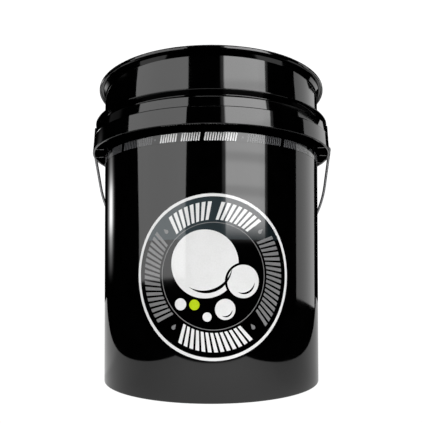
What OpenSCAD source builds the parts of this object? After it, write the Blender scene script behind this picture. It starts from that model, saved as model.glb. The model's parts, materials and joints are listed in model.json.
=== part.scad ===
// Wash bucket: a round, tapered, open-topped pail with a stiffening flange and
// skirt below its rim, a hinged wire bail with a free-spinning grip, a round
// label on the front and a narrow printed band under the skirt.
// Units are millimetres, +Z is up, the origin is the middle of the foot plane.
// The bail's hinge line runs along X; the label faces -Y.

/* [Pail] */
// Overall height of the moulding
pail_h = 370; // [366:0.5:374]
// Outer radius of the wall at the foot
foot_r = 132.65; // [131:0.05:134]
// Outer radius of the wall where it meets the underside of the skirt
wall_top_r = 140.2; // [139.6:0.05:140.8]
// Height of that point on the wall
wall_top_z = 276; // [272:0.5:278]
// Wall thickness
wall_t = 2.3; // [2:0.1:2.8]
// Outer radius of the neck between flange and rim
neck_r = 142; // [141.6:0.1:142.4]
// Height of the floor's underside above the foot plane
floor_lift = 4; // [3:0.5:5]
// Floor thickness
floor_t = 2.6; // [2.2:0.1:3.2]

/* [Rim] */
// Outer radius of the lid rim
rim_r = 149.9; // [149.5:0.1:150.4]
// Height of the lid rim's upright outer face, with its rounded top edge
rim_h = 5.4; // [5:0.1:6]

/* [Flange and skirt] */
// Radius of the thin upper flange
flange_r = 153; // [152.6:0.1:153.4]
// Height of the upper flange's edge
flange_z = 319.6; // [319:0.1:320.4]
// Height of the skirt's shoulder
shoulder_z = 311.2; // [310.5:0.1:311.6]
// Height of the crease across the skirt
crease_z = 299.6; // [299:0.1:300.2]
// Radius at the crease
crease_r = 154.4; // [154:0.1:154.8]
// Radius of the skirt's lower edge
skirt_r = 155.6; // [155.2:0.1:156]
// Height of the skirt's lower edge
skirt_z = 280.4; // [280:0.1:281]
// Number of radial ribs inside the skirt
ribs = 24; // [24]
// Rib thickness
rib_t = 1.6; // [1.2:0.1:2]

/* [Bail] */
// Height of the hinge line
hinge_z = 298; // [297:0.5:299]
// Wire diameter
wire_d = 3.7; // [3.5:0.1:3.9]
// Distance of each straight leg from the middle plane
leg_x = 160.4; // [160:0.1:161]
// Length of the straight legs below the hinge line
leg_len = 60; // [56:1:64]
// Distance from the hinge line to the middle of the grip
bail_drop = 222; // [218:1:226]
// Radius of the hole in each ear
ear_hole_r = 2.3; // [2.2:0.05:2.4]
// Half angle covered by each ear
ear_half_a = 14.8; // [13:0.2:15]

/* [Grip] */
// Length of the grip
grip_l = 88; // [80:1:90]
// Radius at the middle of the grip
grip_r = 11; // [10:0.5:12]
// Radius of the grip's bore
grip_bore_r = 2.6; // [2.5:0.1:3]
// Number of flutes along the grip
flutes = 12; // [12]

/* [Label and band] */
// Half height of the round label
label_r = 85.6; // [80:0.2:90]
// Half width of the round label, measured round the wall
label_w = 85.6; // [80:0.2:90]
// Height of the label's middle
label_z = 126.1; // [120:0.1:130]
// Angle of the label's middle from the -Y direction, towards +X
label_turn = 2.5; // [0:0.1:3]
// Thickness of the label film
label_t = 0.25; // [0.2:0.05:0.4]
// Lower edge of the printed band
band_z0 = 266.4; // [265:0.1:268]
// Upper edge of the printed band
band_z1 = 276; // [274:0.1:276]

/* [Hidden] */
$fn = 96;

// Wall taper: outer radius at any height up to the underside of the skirt
taper = (wall_top_r - foot_r) / wall_top_z;
function wall_r(z) = foot_r + z * taper;

// Points along an arc in the profile plane
function arc(cx, cz, r, a0, a1, n = 6) =
    [for (i = [0:n]) let (a = a0 + (a1 - a0) * i / n) [cx + r * cos(a), cz + r * sin(a)]];

// Derived heights and radii
inner_foot_z = floor_lift + floor_t;
inner_neck_r = neck_r - wall_t;
corner_r = 7;
rim_z = pail_h - rim_h;
web_z = 2.6;

// Bail geometry, in its own plane: x across, t down from the hinge line
wire_r = wire_d / 2;
grip_seat = 48;
arc_run = leg_x - grip_seat;
arc_drop = bail_drop - leg_len;
// each shoulder is a wide arc and a tighter one that meet where the slope is
// that of a 3-4-5 triangle
arc_R1 = 1.5 * arc_drop - 0.5 * arc_run;
arc_R2 = 2 * arc_run - arc_drop;
bend_r = 4;
hook_r = 2.6;
hook_x = 146.2;
hook_len = 4.2;

// Angle of the hanging bail from straight down: the grip rests against the wall
rest_gap = 0.4;
function rest_step(a) =
    asin((wall_r(hinge_z - bail_drop * cos(a)) + grip_r + rest_gap) / bail_drop);
bail_rest = rest_step(rest_step(rest_step(42)));

// Half of the pail's cross-section, outside from the foot to the rim and back
// down the inside to the floor
function pail_profile() = concat(
    [[0, floor_lift], [125.4, floor_lift]],
    [[127.2, 0.4], [127.9, 0]],
    [[foot_r - 1.7, 0]],
    arc(foot_r - 1.66, 1.7, 1.7, -84, 0, 6),
    [[wall_r(wall_top_z), wall_top_z]],
    [[wall_r(wall_top_z) + 0.9, shoulder_z - web_z - 1.6]],
    arc(wall_r(wall_top_z) + 2.5, shoulder_z - web_z - 1.6, 1.6, 180, 90, 4),
    [[flange_r - 4.2, shoulder_z - web_z]],
    [[crease_r - 2.6, crease_z]],
    [[skirt_r - 2.4, skirt_z + 0.5], [skirt_r - 2.0, skirt_z]],
    arc(skirt_r - 0.8, skirt_z + 0.8, 0.8, -90, 2.5, 5),
    [[crease_r + 0.15, crease_z - 0.45], [crease_r - 0.25, crease_z],
     [crease_r - 0.1, crease_z + 0.4]],
    arc(flange_r - 1.2, shoulder_z - 1.1, 1.1, 8, 90, 5),
    [[neck_r + 1.0, shoulder_z]],
    arc(neck_r + 1.2, shoulder_z + 1.2, 1.2, -90, -180, 4),
    arc(neck_r + 1.2, flange_z - 3.0, 1.2, 180, 90, 4),
    [[flange_r - 0.9, flange_z - 1.1]],
    arc(flange_r - 0.65, flange_z - 0.45, 0.65, -70, 70, 5),
    [[neck_r + 3.2, flange_z + 1.0]],
    arc(neck_r + 2.9, flange_z + 3.9, 2.9, -92, -180, 6),
    [[neck_r, rim_z - 3.8], [neck_r + 2.7, rim_z - 0.2],
     [neck_r + 2.7, pail_h - web_z - 0.4],
     [neck_r + 3.1, pail_h - web_z], [rim_r - 2.9, pail_h - web_z],
     [rim_r - 2.6, pail_h - web_z - 0.3], [rim_r - 2.5, rim_z + 0.3],
     [rim_r - 2.2, rim_z]],
    arc(rim_r - 1.8, rim_z + 1.8, 1.8, -90, 0, 5),
    arc(rim_r - 2.3, pail_h - 2.3, 2.3, 0, 90, 7),
    arc(inner_neck_r + 2.2, pail_h - 2.2, 2.2, 90, 180, 6),
    [[inner_neck_r, flange_z - 1]],
    [[wall_r(wall_top_z) - wall_t, wall_top_z]],
    arc(wall_r(inner_foot_z + corner_r) - wall_t - corner_r,
        inner_foot_z + corner_r, corner_r, -1.5, -90, 7),
    [[70, inner_foot_z], [0, inner_foot_z + 0.8]]
);

// Ear: thickened pad of the skirt that carries one end of the bail
module ear(side) {
    rotate([0, 0, side > 0 ? -ear_half_a : 180 - ear_half_a])
        rotate_extrude(angle = 2 * ear_half_a, $fn = 96)
            polygon([[150.6, 287], [155.0, 287], [crease_r + 0.35, crease_z],
                     [crease_r - 0.2, 314.6], [crease_r - 0.8, 315.4],
                     [150.6, 315.4]]);
}

// One radial rib between the wall and the skirt
module rib() {
    rotate([90, 0, 0])
        translate([0, 0, -rib_t / 2])
            linear_extrude(rib_t)
                polygon([[140.4, 286], [143.5, 282.0], [skirt_r - 2.2, 281.2],
                         [crease_r - 2.4, crease_z], [flange_r - 4.0, 309.5],
                         [140.6, 309.5]]);
}

// Pail: one moulding of wall, floor, foot, skirt, flange, ears and lid rim
module pail() {
    color([0.02, 0.02, 0.022])
    difference() {
        union() {
            rotate_extrude($fn = 180) polygon(pail_profile());
            for (k = [0:ribs - 1]) rotate([0, 0, 360 / ribs * (k + 0.5)]) rib();
            ear(1);
            ear(-1);
            // stiffening ring and gate mark under the floor
            difference() {
                translate([0, 0, 1.8]) cylinder(r = 62, h = floor_lift - 1.3);
                translate([0, 0, 1]) cylinder(r = 60, h = floor_lift);
            }
            translate([0, 0, 2.6]) cylinder(r = 5, h = floor_lift - 2.1);
        }
        for (s = [-1, 1])
            translate([s * 148.5, 0, hinge_z])
                rotate([0, 90, 0])
                    translate([0, 0, s > 0 ? 0 : -9])
                        cylinder(r = ear_hole_r, h = 9, $fn = 48);
    }
}

// A straight stretch of wire from (x0, t0), in the bail's plane, at angle a
// from straight down towards +X
module wire_run(x, t, a, len) {
    translate([x, 0, -t]) rotate([0, 180 - a, 0]) cylinder(r = wire_r, h = len, $fn = 48);
}

// A bend of the wire about (x, t), from polar angle a0 over da, radius r
module wire_bend(x, t, r, a0, da) {
    translate([x, 0, -t]) rotate([90, 0, 0]) rotate([0, 0, a0])
        rotate_extrude(angle = da, $fn = 96)
            translate([r, 0]) circle(r = wire_r, $fn = 48);
}

// A shoulder arc of the wire: the part of a ring about (x, t) that lies between
// two rays, given as far points relative to the centre
module wire_arc(x, t, r, p0, p1) {
    translate([x, 0, -t]) rotate([90, 0, 0])
        intersection() {
            rotate([0, 0, 90]) rotate_extrude($fn = 96)
                translate([r, 0]) circle(r = wire_r, $fn = 48);
            translate([0, 0, -5]) linear_extrude(10) polygon([[0, 0], p0, p1]);
        }
}

// Half of the bail on the +X side
module wire_half() {
    // retaining hook inside the ear
    wire_run(hook_x, -hook_r - hook_len, 0, hook_len);
    wire_bend(hook_x + hook_r, -hook_r, hook_r, 180, 90);
    // run through the ear
    translate([hook_x + hook_r, 0, 0]) rotate([0, 90, 0])
        cylinder(r = wire_r, h = leg_x - bend_r - hook_x - hook_r, $fn = 48);
    wire_bend(leg_x - bend_r, bend_r, bend_r, 0, 90);
    wire_run(leg_x, bend_r, 0, leg_len - bend_r);
    // shoulder: the two arcs meet on a 3-4-5 slope
    wire_arc(leg_x - arc_R1, leg_len, arc_R1, [400, 0], [240, -320]);
    wire_arc(grip_seat, bail_drop - arc_R2, arc_R2, [120, -160], [0, -200]);
    translate([0, 0, -bail_drop]) rotate([0, 90, 0])
        cylinder(r = wire_r, h = grip_seat, $fn = 48);
}

// Bail wire, hanging behind the pail
module bail_wire() {
    color([0.62, 0.63, 0.65])
    translate([0, 0, hinge_z]) rotate([bail_rest, 0, 0]) {
        wire_half();
        mirror([1, 0, 0]) wire_half();
    }
}

// Half of the grip's cross-section from the bore to the barrel
function grip_profile() = concat(
    [[grip_bore_r, -grip_l / 2], [grip_r - 2.8, -grip_l / 2]],
    arc(grip_r - 2.8, -grip_l / 2 + 1.2, 1.2, -80, 0, 4),
    [[grip_r - 1.6, -grip_l / 2 + 4]],
    [for (i = [-6:6]) [grip_r - 1.6 * pow(abs(i) / 7, 2), (grip_l / 2 - 4) * i / 7]],
    [[grip_r - 1.6, grip_l / 2 - 4]],
    arc(grip_r - 2.8, grip_l / 2 - 1.2, 1.2, 0, 80, 4),
    [[grip_r - 2.8, grip_l / 2], [grip_bore_r, grip_l / 2]]
);

// Grip: a barrel that spins on the wire
module bail_grip() {
    color([0.03, 0.03, 0.03])
    translate([0, 0, hinge_z]) rotate([bail_rest, 0, 0])
        translate([0, 0, -bail_drop]) rotate([0, 90, 0])
            difference() {
                rotate_extrude($fn = 96) polygon(grip_profile());
                for (k = [0:flutes - 1]) rotate([0, 0, 360 / flutes * (k + 0.5)])
                    translate([grip_r + 1.2, 0, -grip_l])
                        cylinder(r = 2.3, h = 2 * grip_l, $fn = 32);
            }
}

// Thin film that follows the tapered wall between two heights
module film(z0, z1, gap, t) {
    rotate_extrude($fn = 180)
        polygon([[wall_r(z0) + gap, z0], [wall_r(z0) + gap + t, z0],
                 [wall_r(z1) + gap + t, z1], [wall_r(z1) + gap, z1]]);
}

// Round label: a disc when flat, wrapped onto the tapered wall
module round_label() {
    n = 90;
    rc = wall_r(label_z);
    color([0.012, 0.012, 0.013])
    rotate([0, 0, label_turn])
        intersection() {
            film(label_z - label_r - 2, label_z + label_r + 2, 0.05, label_t);
            rotate([90, 0, 0]) linear_extrude(200)
                polygon([for (i = [0:n - 1]) let (a = 360 * i / n)
                    let (s = label_w * cos(a), z = label_z + label_r * sin(a))
                    [wall_r(z) * sin(s / rc * 180 / PI), z]]);
        }
}

// Printed band: a thin ink film all round the wall under the skirt
module band_print() {
    color([0.02, 0.02, 0.022]) film(band_z0, band_z1 - 0.2, 0.02, 0.1);
}

pail();
bail_wire();
bail_grip();
round_label();
band_print();
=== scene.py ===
import json
import math

import bmesh
import bpy
from mathutils import Matrix, Vector

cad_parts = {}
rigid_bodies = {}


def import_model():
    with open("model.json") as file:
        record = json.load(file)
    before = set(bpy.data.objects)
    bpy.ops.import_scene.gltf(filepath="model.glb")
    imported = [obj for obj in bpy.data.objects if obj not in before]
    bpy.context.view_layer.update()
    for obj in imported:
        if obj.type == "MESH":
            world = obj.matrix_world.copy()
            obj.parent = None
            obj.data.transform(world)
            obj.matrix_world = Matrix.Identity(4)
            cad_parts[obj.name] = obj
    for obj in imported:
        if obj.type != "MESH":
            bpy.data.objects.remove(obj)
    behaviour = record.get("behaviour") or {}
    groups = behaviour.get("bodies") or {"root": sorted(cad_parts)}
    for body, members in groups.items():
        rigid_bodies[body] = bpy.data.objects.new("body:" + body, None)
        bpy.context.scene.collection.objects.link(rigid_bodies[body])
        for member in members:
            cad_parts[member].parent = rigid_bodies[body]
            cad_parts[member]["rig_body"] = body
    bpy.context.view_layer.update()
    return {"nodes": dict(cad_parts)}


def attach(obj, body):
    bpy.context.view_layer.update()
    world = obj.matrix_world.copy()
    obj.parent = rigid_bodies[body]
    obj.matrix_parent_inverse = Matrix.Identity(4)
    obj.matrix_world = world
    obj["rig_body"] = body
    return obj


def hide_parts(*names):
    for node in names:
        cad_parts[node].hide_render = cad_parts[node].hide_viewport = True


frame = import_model()
NODES = frame["nodes"]
scene = bpy.context.scene
scene.view_settings.view_transform = "Standard"
scene.view_settings.look = "None"

# The ears' line isn't quite square to the camera, so camera and studio turn together by this much.
STUDIO_TURN = math.radians(1.5)
TURN = Matrix.Rotation(STUDIO_TURN, 4, "Z")
MM = 0.001

# ---------------------------------------------------------------- camera
cam_data = bpy.data.cameras.new("camera")
cam_data.sensor_fit = "HORIZONTAL"
cam_data.sensor_width = 36.0
cam_data.lens = 39.426
cam_data.clip_start = 0.01
cam_data.clip_end = 50
camera = bpy.data.objects.new("camera", cam_data)
scene.collection.objects.link(camera)
aim = (
    Matrix.Rotation(math.radians(0.067), 4, "Z")
    @ Matrix.Rotation(math.radians(90 + 8.104), 4, "X")
    @ Matrix.Rotation(math.radians(-0.065), 4, "Z")
)
camera.matrix_world = TURN @ Matrix.Translation((0.0010, -0.6123, 0.1241)) @ aim
scene.camera = camera


# ---------------------------------------------------------------- node helpers
def new_material(name):
    m = bpy.data.materials.new(name)
    m.use_nodes = True
    nt = m.node_tree
    for n in list(nt.nodes):
        nt.nodes.remove(n)
    return m, nt


def add(nt, kind, **props):
    n = nt.nodes.new(kind)
    for k, v in props.items():
        setattr(n, k, v)
    return n


def put(nt, value, socket):
    """A number or colour is set on the socket, an output is linked to it."""
    if isinstance(value, (int, float, tuple)):
        socket.default_value = value
    else:
        nt.links.new(value, socket)


def coords(nt, scale=(1, 1, 1)):
    tc = add(nt, "ShaderNodeTexCoord")
    mp = add(nt, "ShaderNodeMapping")
    mp.inputs["Scale"].default_value = scale
    nt.links.new(tc.outputs["Object"], mp.inputs["Vector"])
    return mp.outputs[0]


def noise(nt, vector, scale, detail=2.0, rough=0.5):
    n = add(nt, "ShaderNodeTexNoise")
    nt.links.new(vector, n.inputs["Vector"])
    n.inputs["Scale"].default_value = scale
    n.inputs["Detail"].default_value = detail
    n.inputs["Roughness"].default_value = rough
    return n.outputs["Fac"]


def spread(nt, value, lo0, hi0, lo1, hi1):
    """Maps a value from one range to another, clamped."""
    n = add(nt, "ShaderNodeMapRange")
    nt.links.new(value, n.inputs["Value"])
    for k, v in zip(("From Min", "From Max", "To Min", "To Max"), (lo0, hi0, lo1, hi1)):
        n.inputs[k].default_value = v
    return n.outputs[0]


def blend_colour(nt, fac, a, b):
    n = add(nt, "ShaderNodeMix", data_type="RGBA")
    put(nt, fac, n.inputs[0])
    put(nt, (*a, 1), n.inputs[6])
    put(nt, (*b, 1), n.inputs[7])
    return n.outputs[2]


def sum_of(nt, a, b, op="ADD"):
    n = add(nt, "ShaderNodeMath", operation=op)
    put(nt, a, n.inputs[0])
    put(nt, b, n.inputs[1])
    return n.outputs[0]


def bumped(nt, height, distance, strength=1.0):
    n = add(nt, "ShaderNodeBump")
    n.inputs["Strength"].default_value = strength
    n.inputs["Distance"].default_value = distance
    nt.links.new(height, n.inputs["Height"])
    return n.outputs[0]


def principled(nt, colour, rough, normal=None, metallic=0.0, ior=1.5):
    out = add(nt, "ShaderNodeOutputMaterial")
    b = add(nt, "ShaderNodeBsdfPrincipled")
    put(nt, colour, b.inputs["Base Color"])
    put(nt, rough, b.inputs["Roughness"])
    b.inputs["Metallic"].default_value = metallic
    b.inputs["IOR"].default_value = ior
    if normal is not None:
        nt.links.new(normal, b.inputs["Normal"])
    nt.links.new(b.outputs[0], out.inputs[0])
    return b


# ---------------------------------------------------------------- materials
def moulded_plastic(name, dark, light, rough, peel):
    """Polished injection-moulded polymer: a slow cloud in gloss, hairline wipes and a very fine orange peel."""
    m, nt = new_material(name)
    v = coords(nt)
    cloud = noise(nt, v, 26, 3)
    hair = noise(nt, coords(nt, (3, 3, 90)), 22, 4, 0.7)
    gloss = sum_of(
        nt, spread(nt, cloud, 0.35, 0.65, rough * 0.8, rough * 1.25), spread(nt, hair, 0.62, 0.78, 0.0, 0.03)
    )
    tint = blend_colour(nt, spread(nt, noise(nt, v, 60, 4), 0.4, 0.6, 0, 1), dark, light)
    height = noise(nt, v, 900, 2)
    principled(nt, tint, gloss, bumped(nt, height, peel))
    return m


def zinc_wire(name):
    """Drawn steel wire with a dull zinc skin: lengthwise draw lines and small spangles."""
    m, nt = new_material(name)
    v = coords(nt)
    spangle = noise(nt, v, 420, 3)
    line = noise(nt, coords(nt, (600, 600, 12)), 1.0, 3)
    tint = blend_colour(nt, spread(nt, spangle, 0.35, 0.65, 0, 1), (0.36, 0.365, 0.375), (0.52, 0.52, 0.53))
    rough = spread(nt, line, 0.3, 0.7, 0.27, 0.42)
    principled(nt, tint, rough, bumped(nt, sum_of(nt, line, spangle), 0.00002, 0.6), metallic=1.0)
    return m


def satin_grip(name):
    m, nt = new_material(name)
    v = coords(nt)
    grain = noise(nt, v, 1600, 2)
    tint = blend_colour(nt, spread(nt, noise(nt, v, 90, 4), 0.4, 0.6, 0, 1), (0.0075, 0.0075, 0.008), (0.014, 0.014, 0.0145))
    rough = spread(nt, noise(nt, v, 300, 3), 0.3, 0.7, 0.30, 0.44)
    principled(nt, tint, rough, bumped(nt, grain, 0.00004, 0.7))
    return m


def ink(name, dark, light, rough=0.05, speck=700):
    """Screen-printed ink under a clear film: a faint dot screen in the pigment, the film's gloss on top."""
    m, nt = new_material(name)
    v = coords(nt)
    fac = spread(nt, sum_of(nt, noise(nt, v, speck, 2), noise(nt, v, 45, 3)), 0.8, 1.2, 0, 1)
    tint = blend_colour(nt, fac, dark, light)
    gloss = spread(nt, noise(nt, v, 30, 3), 0.35, 0.65, rough * 0.8, rough * 1.2)
    principled(nt, tint, gloss, bumped(nt, noise(nt, v, 900, 2), 0.0000008))
    return m


def slate_ink(name):
    """The emblem's tinted sky: it deepens from left to right."""
    m, nt = new_material(name)
    v = coords(nt)
    tc = add(nt, "ShaderNodeSeparateXYZ")
    nt.links.new(v, tc.inputs[0])
    across = spread(nt, tc.outputs["X"], -0.060, 0.060, 0, 1)
    mixed = sum_of(nt, across, spread(nt, noise(nt, v, 40, 3), 0.3, 0.7, -0.06, 0.06))
    tint = blend_colour(nt, mixed, SLATE_LEFT, SLATE_RIGHT)
    principled(nt, tint, spread(nt, noise(nt, v, 30, 3), 0.35, 0.65, 0.04, 0.06))
    return m


SLATE_LEFT = (0.036, 0.050, 0.056)
SLATE_RIGHT = (0.006, 0.009, 0.0105)
pail_mat = moulded_plastic("pail_black", (0.00012, 0.00012, 0.00013), (0.00028, 0.00028, 0.0003), 0.045, 0.0000006)
film_mat = moulded_plastic("film_black", (0.0001, 0.0001, 0.00011), (0.0002, 0.0002, 0.00022), 0.045, 0.0000006)
wire_mat = zinc_wire("zinc_wire")
grip_mat = satin_grip("grip_black")
white_mat = ink("ink_white", (0.615, 0.615, 0.612), (0.655, 0.655, 0.655))
grey_mat = ink("ink_grey", (0.150, 0.150, 0.152), (0.172, 0.172, 0.174))
band_grey_mat = ink("ink_band_grey", (0.070, 0.071, 0.074), (0.086, 0.087, 0.091))
accent_mat = ink("ink_accent", (0.34, 0.46, 0.010), (0.40, 0.53, 0.014))
slate_mat = slate_ink("ink_slate")

for n, m in (
    ("pail", pail_mat),
    ("round_label", film_mat),
    ("band_print", film_mat),
    ("bail_wire", wire_mat),
    ("bail_grip", grip_mat),
):
    NODES[n].data.materials.clear()
    NODES[n].data.materials.append(m)


# ---------------------------------------------------------------- printed films, wrapped on the pail's wall
SLOPE = 7.55 / 276.0
NORMAL_LEN = math.hypot(1.0, SLOPE)


def wall_r(z):
    return 132.65 + z * SLOPE


def to_wall(u, v, lift, at):
    """(u, v) in mm on the flat artwork -> a point in metres, lift mm off the wall; at = (turn in degrees, height, radius the artwork is wound on)."""
    a = math.radians(at[0]) + u / at[2]
    z = at[1] + v
    r = wall_r(z) + lift
    return (r * math.sin(a) * MM, -r * math.cos(a) * MM, z * MM)


def to_normal(u, at):
    a = math.radians(at[0]) + u / at[2]
    return (math.sin(a) / NORMAL_LEN, -math.cos(a) / NORMAL_LEN, -SLOPE / NORMAL_LEN)


def wrapped(name, polygons, lift, at, material, thick=0.015, step=2.0, seam=None):
    """A printed piece: flat polygons welded, cut into strips and wound round the wall as a thin closed solid whose face carries the wall's own normals.
    seam = the |u| at which a full turn meets itself, where no side is made."""
    bm = bmesh.new()
    for poly in polygons:
        bm.faces.new([bm.verts.new((u, v, 0)) for u, v in poly])
    bmesh.ops.remove_doubles(bm, verts=bm.verts[:], dist=1e-4)
    bm.normal_update()
    for f in bm.faces:
        if f.normal.z < 0:
            f.normal_flip()
    bmesh.ops.triangulate(bm, faces=bm.faces[:], ngon_method="EAR_CLIP")
    us = [v.co.x for v in bm.verts]
    for k in range(math.ceil(min(us) / step), math.floor(max(us) / step) + 1):
        bmesh.ops.bisect_plane(
            bm,
            geom=bm.verts[:] + bm.edges[:] + bm.faces[:],
            dist=1e-5,
            plane_co=(k * step, 0, 0),
            plane_no=(1, 0, 0),
        )
    bm.verts.ensure_lookup_table()
    bm.verts.index_update()
    flat_pts = [(v.co.x, v.co.y) for v in bm.verts]
    n = len(flat_pts)
    nor = [to_normal(u, at) for u, _ in flat_pts]
    pts = [to_wall(u, v, lift, at) for u, v in flat_pts] + [to_wall(u, v, lift - thick, at) for u, v in flat_pts]
    faces, normals = [], []
    for f in bm.faces:
        loop = [v.index for v in f.verts]
        faces.append(loop)
        normals += [nor[k] for k in loop]
        faces.append([k + n for k in reversed(loop)])
        normals += [tuple(-c for c in nor[k]) for k in reversed(loop)]
    for e in bm.edges:
        if len(e.link_loops) != 1:
            continue
        a, b = e.link_loops[0].vert.index, e.link_loops[0].link_loop_next.vert.index
        if seam and abs(abs(flat_pts[a][0]) - seam) < 1e-3 and abs(abs(flat_pts[b][0]) - seam) < 1e-3:
            continue
        quad = [b, a, a + n, b + n]
        p, q, r = (Vector(pts[k]) for k in quad[:3])
        side = (q - p).cross(r - q).normalized()
        faces.append(quad)
        normals += [tuple(side)] * 4
    bm.free()
    me = bpy.data.meshes.new(name)
    me.from_pydata(pts, [], faces)
    me.update()
    for f in me.polygons:
        f.use_smooth = True
    me.normals_split_custom_set(normals)
    o = bpy.data.objects.new(name, me)
    me.materials.append(material)
    scene.collection.objects.link(o)
    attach(o, NODES["pail"]["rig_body"])
    return o


def circle(cx, cy, r, n=72, start=0.0):
    return [(cx + r * math.sin(2 * math.pi * i / n + start), cy + r * math.cos(2 * math.pi * i / n + start)) for i in range(n)]


def ring(cx, cy, r0, r1, a0=0.0, a1=360.0, n=180):
    """Quads of a ring or an arc; angles in degrees clockwise from up."""
    out = []
    for i in range(n):
        p, q = (math.radians(a0 + (a1 - a0) * (i + k) / n) for k in (0, 1))
        out.append(
            [(cx + r * math.sin(t), cy + r * math.cos(t)) for r, t in ((r0, p), (r1, p), (r1, q), (r0, q))]
        )
    return out


def crescent(cx, cy, r, a0, a1, thick, n=40):
    """A stroke along an arc that swells in the middle and runs out to points."""
    outer, inner = [], []
    for i in range(n + 1):
        t = i / n
        a = math.radians(a0 + (a1 - a0) * t)
        w = thick * math.sin(math.pi * t) / 2
        outer.append((cx + (r + w) * math.sin(a), cy + (r + w) * math.cos(a)))
        inner.append((cx + (r - w) * math.sin(a), cy + (r - w) * math.cos(a)))
    return [outer + inner[-2:0:-1]]


def drop(cx, cy, r, turn, n=20):
    """A water drop with its point turned `turn` degrees clockwise from up."""
    pts = [(r * math.sin(math.radians(48 + 264 * i / n)), r * math.cos(math.radians(48 + 264 * i / n))) for i in range(n + 1)]
    pts.append((0.0, r * 2.1))
    c, s = math.cos(math.radians(turn)), math.sin(math.radians(turn))
    return [(cx + x * c + y * s, cy - x * s + y * c) for x, y in pts]


def slant_bar(mid, r0, r1, width, lean, flip=False):
    """One bar of the tread pattern round the ring: it leans by `lean` degrees from its inner to its outer end."""
    out = []
    for r, side, shift in ((r0, -1, -1), (r0, 1, -1), (r1, 1, 1), (r1, -1, 1)):
        half = math.degrees(width / 2 / ((r0 + r1) / 2))
        a = math.radians(mid + side * half + shift * lean / 2 * (-1 if flip else 1))
        out.append((r * math.sin(a), r * math.cos(a)))
    return out


def tread(a0, a1, bars, r0=57.2, r1=76.2, width=None, lean=4.0, skip=()):
    pitch = (a1 - a0) / bars
    w = width or math.radians(pitch) * (r0 + r1) / 2 * 0.62
    return [
        slant_bar(a0 + pitch * (i + 0.5), r0, r1, w, lean)
        for i in range(bars)
        if i not in skip
    ]


LABEL = (2.5, 126.1, 136.1)
FILM = 0.30
outline = circle(0, 0, 85.6, 288)
label_film = wrapped("emblem_film", [outline], FILM, LABEL, film_mat, thick=0.25)
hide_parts("round_label")

LINE = 36.9
sky = [(81.6 * math.sin(t), 81.6 * math.cos(t)) for t in (math.radians(-63.1 + 126.2 * i / 120) for i in range(121))]
wrapped("emblem_sky", [sky], FILM + 0.02, LABEL, slate_mat)

white = ring(0, 0, 81.5, 84.6)
white += tread(-41, -2.2, 8) + tread(3.4, 41, 8)
white += tread(148.5, 211.5, 13, lean=-4.0)
grey = ring(0, 0, 54.0, 54.75)
grey += tread(54, 132, 17) + tread(-132, -54, 17)
for a in (-47.5, 47.5, 141.5, -141.5):
    grey.append(drop(67 * math.sin(math.radians(a)), 67 * math.cos(math.radians(a)), 2.1, a if abs(a) < 90 else a + 180))

BUBBLES = ((-9, 12, 35.0), (12, -34, 10.5), (-34, -29, 6.0), (-6.5, -41.5, 4.6))
white += [circle(*b, 96) for b in BUBBLES]
cut = [circle(31, -6, 19.4, 96)]
upper = [circle(31, -6, 17.0, 96)]
shade = crescent(-9, 12, 28.5, 100, 215, 3.4) + crescent(31, -6, 12.2, 95, 210, 2.2) + crescent(12, -34, 7.2, 95, 210, 1.5)
wrapped("emblem_white", white, FILM + 0.04, LABEL, white_mat)
wrapped("emblem_grey", grey, FILM + 0.04, LABEL, grey_mat)
wrapped("emblem_gap", cut, FILM + 0.06, LABEL, film_mat)
wrapped("emblem_white_upper", upper, FILM + 0.08, LABEL, white_mat)
wrapped("emblem_shade", shade, FILM + 0.10, LABEL, film_mat)
wrapped("emblem_accent", [circle(-19.5, -29.5, 5.3, 48)], FILM + 0.06, LABEL, accent_mat)

BAND = (1.5, 271.55, 140.08)
BAND_FILM = 0.12
MM_PER_DEG = math.radians(1) * BAND[2]


def band_bars(a0, a1, pitch=1.12, height=8.9, lean=1.5, fill=0.6):
    n = max(1, round((a1 - a0) / pitch))
    p = (a1 - a0) / n * MM_PER_DEG
    out = []
    for i in range(n):
        c = a0 * MM_PER_DEG + p * (i + 0.5)
        w = p * fill / 2
        out.append([(c - w - lean / 2, -height / 2), (c + w - lean / 2, -height / 2), (c + w + lean / 2, height / 2), (c - w + lean / 2, height / 2)])
    return out


strip_film = []
for i in range(360):
    p, q = (-180 + i) * MM_PER_DEG, (-179 + i) * MM_PER_DEG
    strip_film.append([(p, -5.15), (q, -5.15), (q, 4.45), (p, 4.45)])
band_film = wrapped("band_film", strip_film, BAND_FILM, BAND, film_mat, thick=0.1, seam=180 * MM_PER_DEG)
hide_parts("band_print")
band_white, band_grey = [], []
for turn in (0, 120, 240):
    for a0, a1 in ((-23.1, -14.9), (-13.2, -4.6), (-3.0, 11.5)):
        band_white += band_bars(turn + a0, turn + a1)
    for a0, a1 in ((16.0, 33.5), (35.1, 53.3), (56.0, 60.0), (-45.0, -27.0), (-57.0, -47.0)):
        band_grey += band_bars(turn + a0, turn + a1)
    for a in (-25.65, 13.8, 54.4):
        band_grey.append(circle((turn + a) * MM_PER_DEG, -0.3, 1.15, 16))
wrapped("band_white", band_white, BAND_FILM + 0.02, BAND, white_mat)
wrapped("band_grey", band_grey, BAND_FILM + 0.02, BAND, band_grey_mat)

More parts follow.
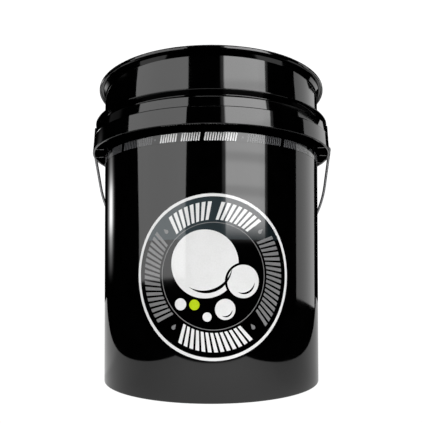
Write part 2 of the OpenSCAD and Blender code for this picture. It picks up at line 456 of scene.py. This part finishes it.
# ---------------------------------------------------------------- world: white to the camera, dark in reflections
world = bpy.data.worlds.new("studio")
scene.world = world
world.use_nodes = True
wt = world.node_tree
for n in list(wt.nodes):
    wt.nodes.remove(n)
wo = wt.nodes.new("ShaderNodeOutputWorld")
mix = wt.nodes.new("ShaderNodeMixShader")
lp = wt.nodes.new("ShaderNodeLightPath")
dark = wt.nodes.new("ShaderNodeBackground")
dark.inputs[0].default_value = (0, 0, 0, 1)
bright = wt.nodes.new("ShaderNodeBackground")
bright.inputs[0].default_value = (1, 1, 1, 1)
bright.inputs[1].default_value = 1.1
wt.links.new(lp.outputs["Is Camera Ray"], mix.inputs[0])
wt.links.new(dark.outputs[0], mix.inputs[1])
wt.links.new(bright.outputs[0], mix.inputs[2])
wt.links.new(mix.outputs[0], wo.inputs[0])


# ---------------------------------------------------------------- softboxes
def emission(name, strength=None):
    m, nt = new_material(name)
    out = add(nt, "ShaderNodeOutputMaterial")
    e = add(nt, "ShaderNodeEmission")
    if strength is None:
        a = add(nt, "ShaderNodeAttribute", attribute_name="glow")
        nt.links.new(a.outputs["Fac"], e.inputs["Strength"])
    else:
        e.inputs["Strength"].default_value = strength
    nt.links.new(e.outputs[0], out.inputs[0])
    return m


def table(*pairs):
    """Straight lines through (x, y) pairs, flat beyond the ends."""

    def f(x):
        if x <= pairs[0][0]:
            return pairs[0][1]
        for (x0, y0), (x1, y1) in zip(pairs, pairs[1:]):
            if x <= x1:
                return y0 + (y1 - y0) * (x - x0) / (x1 - x0)
        return pairs[-1][1]

    return f


def smooth(x, a, b):
    t = min(1.0, max(0.0, (x - a) / (b - a)))
    return t * t * (3 - 2 * t)


def stage_mesh(name, verts, faces, glow, lift=0.0, shown=False):
    me = bpy.data.meshes.new(name)
    me.from_pydata(verts, [], faces)
    if callable(glow) or isinstance(glow, list):
        at = me.attributes.new("glow", "FLOAT", "POINT")
        at.data.foreach_set("value", glow)
        me.materials.append(emission(name + "_light"))
    else:
        me.materials.append(emission(name + "_light", glow))
    o = bpy.data.objects.new(name, me)
    scene.collection.objects.link(o)
    o.matrix_world = Matrix.Translation((0, 0, lift)) @ TURN
    o.visible_camera = shown
    o.visible_shadow = False
    return o


def softbox(name, side0, side1, low, high, level, nu=48, nv=48, radius=2.2):
    """A curved softbox on a cylinder round the pail. side0/side1 give its azimuth edges in degrees by height, low/high its bottom and top in metres by azimuth; azimuth 0 is the camera's side and + is to the right."""
    verts, faces, glow = [], [], []
    for i in range(nu + 1):
        s = i / nu
        for j in range(nv + 1):
            t = j / nv
            az = side0(1.0) + s * (side1(1.0) - side0(1.0))
            z = low(az) + t * (high(az) - low(az))
            az = side0(z) + s * (side1(z) - side0(z))
            a = math.radians(az)
            verts.append((radius * math.sin(a), -radius * math.cos(a), z))
            glow.append(level(az, z))
    for i in range(nu):
        for j in range(nv):
            p = i * (nv + 1) + j
            faces.append((p, p + 1, p + nv + 2, p + nv + 1))
    return stage_mesh(name, verts, faces, glow)


def flat(v):
    return lambda _: v


left_level = table((-79, 2.2), (-75, 2.27), (-66, 2.47), (-57, 2.55), (-48, 2.63), (-40, 2.69), (-25, 2.82), (-21, 2.85))
softbox(
    "softbox_left",
    table((0.29, -75.5), (0.57, -76.6), (0.74, -77.2), (1.18, -80.2), (1.25, -79.6), (1.32, -78.4), (1.55, -72.2), (1.75, -71.5)),
    table((0.0, -24.9), (0.48, -24.5), (0.66, -23.9), (1.2, -21.9), (1.87, -21.9)),
    flat(0.015),
    flat(2.05),
    lambda az, z: left_level(az),
)


RIGHT_IN = table((0.3, 13.9), (0.75, 13.9), (1.15, 12.9), (1.26, 12.3))
RIGHT_OUT = table((0.3, 53.4), (0.75, 53.4), (1.2, 54.5), (1.8, 53.7))


def right_level(az, z):
    a, b = RIGHT_IN(z), RIGHT_OUT(z)
    v = 0.08 * smooth(az, a - 4.3, a - 2.2) + 0.92 * smooth(az, a - 1.0, a + 0.9)
    v *= 1 - 0.92 * smooth(az, b - 0.5, b + 0.6) - 0.08 * smooth(az, b + 2.0, b + 3.4)
    v *= 6.85 * (1 - 0.07 * smooth(az, 44, 52))
    for z0, w, d in ((0.492, 0.031, 0.22), (0.679, 0.031, 0.22), (1.212, 0.036, 0.2)):
        v *= 1 - d * math.exp(-(((z - z0) / w) ** 4))
    return max(0.0, v * smooth(z, 0.20, 0.345))


softbox(
    "softbox_right",
    flat(8.0),
    flat(58.5),
    flat(0.18),
    flat(2.1),
    right_level,
    nu=202,
    nv=192,
)
# A faint glow above the far-right softbox.
softbox(
    "softbox_far_right_top",
    flat(60),
    flat(103),
    table((60, 1.75), (67, 1.70), (76, 1.63), (85, 1.565), (94, 1.51), (103, 1.43)),
    flat(2.6),
    lambda az, z: 0.26 * smooth(az, 60, 66) * (1 - smooth(az, 94, 103)),
)
softbox(
    "softbox_far_left_top",
    flat(-116),
    flat(-92),
    flat(1.3),
    flat(1.9),
    lambda az, z: 0.07 * smooth(az, -116, -111) * (1 - smooth(az, -100, -92)),
)
far_level = table((94, 1.15), (108, 1.18), (116, 1.25), (125, 1.33), (133, 1.18), (136, 1.1))
softbox(
    "softbox_far_right",
    table((0.8, 94.2), (1.18, 93.6), (1.26, 92.3), (1.5, 91.0)),
    table((0.7, 135.2), (1.1, 139.0)),
    table((93, -0.058), (130, -0.076)),
    table((94, 1.495), (102, 1.415), (111, 1.335), (121, 1.24), (136, 1.22)),
    lambda az, z: far_level(az),
)
strip_level = table(
    (0.06, 0.0), (0.10, 0.05), (0.204, 0.56), (0.308, 1.67), (0.36, 3.6), (0.41, 5.23), (0.523, 5.15), (0.579, 4.36), (0.633, 2.14), (0.69, 1.09), (0.744, 0.69), (0.9, 0.2), (1.1, 0.0)
)
softbox(
    "softbox_back_left",
    flat(-141),
    flat(-112),
    flat(0.05),
    flat(1.1),
    lambda az, z: 1.12 * strip_level(z) * math.exp(-((az + 125.4) ** 2) / (2 * (3.1 if az > -125.4 else 4.6) ** 2)),
)
# These two only reach the far side and the inside; from the front the pail hides its own reflection of them.
softbox("softbox_back", flat(158), flat(202), flat(1.35), flat(2.6), lambda az, z: 2.0 * smooth(z, 1.35, 1.6), nu=12, nv=24)
disc = circle(0, 0, 0.55, 48)
stage_mesh("softbox_top", [(x, y + 0.25, 2.3) for x, y in disc], [tuple(range(48))], 2.2)

# ---------------------------------------------------------------- floor: a white table that widens towards the back, with painted shade in its glow near the pail and towards the sides
# Painted shade: by azimuth, the table's glow is lower towards the sides and back. It stands in for the pail's own
# shadow on the table.
FLOOR_SHADED_GLOW_BY_AZ = table(
    (-150, 0.66), (-128, 0.68), (-113, 0.74), (-98, 0.80), (-89, 0.66), (-79, 0.70), (-60, 0.74), (-51, 0.76), (-42, 0.84), (-32, 0.94), (-23, 1.04), (-14, 1.12),
    (-5, 1.15), (5, 1.18), (14, 1.19), (23, 1.17), (32, 1.08), (42, 0.94), (51, 0.77), (61, 0.66), (70, 0.60), (79, 0.56), (89, 0.56), (128, 0.54), (150, 0.6)
)


# Painted shadow: the glow is also lower close to the pail and rises by up to 8% further out.
def floor_glow_with_painted_shade(x, y):
    r = math.hypot(x, y)
    return FLOOR_SHADED_GLOW_BY_AZ(math.degrees(math.atan2(x, -y))) * (1 + 0.9 * min(0.09, max(0.0, r - 0.155)))


verts, faces, glow = [], [], []
ROWS = [-0.305 + 0.01 * i for i in range(60)] + [0.295 + 0.1 * i for i in range(1, 14)]
for y in ROWS:
    x0, x1 = -(0.293 + 0.4947 * y) / 0.869, (0.287 + 0.5 * y) / 0.866
    for i in range(81):
        x = x0 + (x1 - x0) * i / 80
        verts.append((x, y, 0))
        glow.append(floor_glow_with_painted_shade(x, y))
for j in range(len(ROWS) - 1):
    for i in range(80):
        p = j * 81 + i
        faces.append((p, p + 1, p + 82, p + 81))
# The glowing table is seen only in reflections, and it carries this painted shade and shadow.
stage_mesh("floor_light", verts, faces, glow, lift=-0.0002)
stage_mesh("floor", [(-1.5, -0.305, 0), (1.5, -0.305, 0), (1.5, 1.6, 0), (-1.5, 1.6, 0)], [(0, 1, 2, 3)], 1.05, lift=-0.001, shown=True).visible_glossy = False
# A lower white shelf in front of the table, which only steep views reflect.
apron, faces = [], []
for i in range(49):
    a = math.radians(-105 + 245 * i / 48)
    for r in (1.14, 1.55):
        apron.append((r * math.sin(a), -r * math.cos(a), -0.5))
for i in range(48):
    faces.append((2 * i, 2 * i + 1, 2 * i + 3, 2 * i + 2))
stage_mesh("apron", apron, faces, 0.9)
